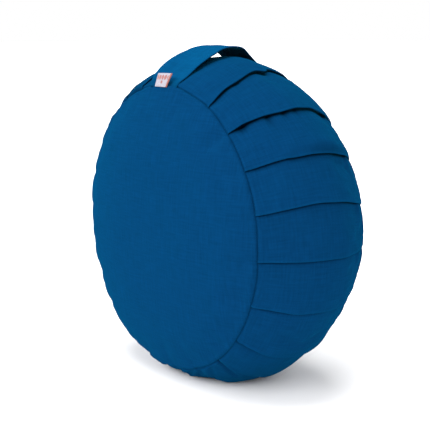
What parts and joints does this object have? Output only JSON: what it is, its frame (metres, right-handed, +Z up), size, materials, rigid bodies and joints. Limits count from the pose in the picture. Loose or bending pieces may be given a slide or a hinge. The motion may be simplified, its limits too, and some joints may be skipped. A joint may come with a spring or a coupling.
{
  "type": "pleated round floor cushion",
  "caption": "Round floor cushion standing on its edge: a thick drum with a deeply pleated side band, two plain faces, a carry strap and a zip-off cover over a hull-filled bag.",
  "frame": {"origin": "on the floor, under the middle of the cushion as it stands on its edge", "axes": "+Z up, Y along the cushion's round axis with the labelled front face towards -Y, +X to the right seen from the front"},
  "size_m": [0.35, 0.184, 0.355],
  "materials": {
    "cover_cloth": "matt woven cotton twill",
    "strap_cloth": "matt woven cotton twill, folded and stitched",
    "label_satin": "woven satin label with a red border",
    "zip_tape": "woven polyester tape",
    "zip_coil": "nylon coil",
    "zip_stop": "welded nylon",
    "zip_metal": "semi-gloss enamel",
    "bag_cloth": "unbleached plain-weave cotton",
    "hulls": "loose buckwheat hulls"
  },
  "bodies": {
    "cushion": {"front_panel": "cover_cloth", "back_panel": "cover_cloth", "side_band": "cover_cloth", "handle_front_end": "strap_cloth", "handle_rear_end": "strap_cloth", "woven_label": "label_satin", "zip_tape_face": "zip_tape", "zip_tape_band": "zip_tape", "zip_coil_face": "zip_coil", "zip_coil_band": "zip_coil", "zip_top_stops": "zip_stop", "zip_bottom_stop": "zip_stop", "inner_bag_front": "bag_cloth", "inner_bag_back": "bag_cloth", "inner_bag_band": "bag_cloth", "hull_filling": "hulls"},
    "strap_middle": {"handle_grip": "strap_cloth"},
    "slider": {"zip_slider": "zip_metal"},
    "pull": {"zip_pull": "zip_metal"}
  },
  "joints": [
    {"name": "strap_lean", "type": "hinge", "parent": "cushion", "child": "strap_middle", "pos_m": [-0.005, 0, 0.315], "axis": [0, 1, 0], "range_deg": [-18, 18], "stiffness_Nm_per_rad": 0.05, "deforming": ["handle_front_end", "handle_rear_end"]},
    {"name": "zip_slide", "type": "hinge", "parent": "cushion", "child": "slider", "pos_m": [0, 0, 0.165], "axis": [0, 1, 0], "range_deg": [-124.9, 0], "deforming": ["zip_coil_face", "zip_coil_band"]},
    {"name": "pull_swing", "type": "hinge", "parent": "slider", "child": "pull", "pos_m": [-0.06803, 0.0714, 0.30145], "axis": [0.3668, 0.5693, -0.7357], "range_deg": [0, 150]}
  ]
}
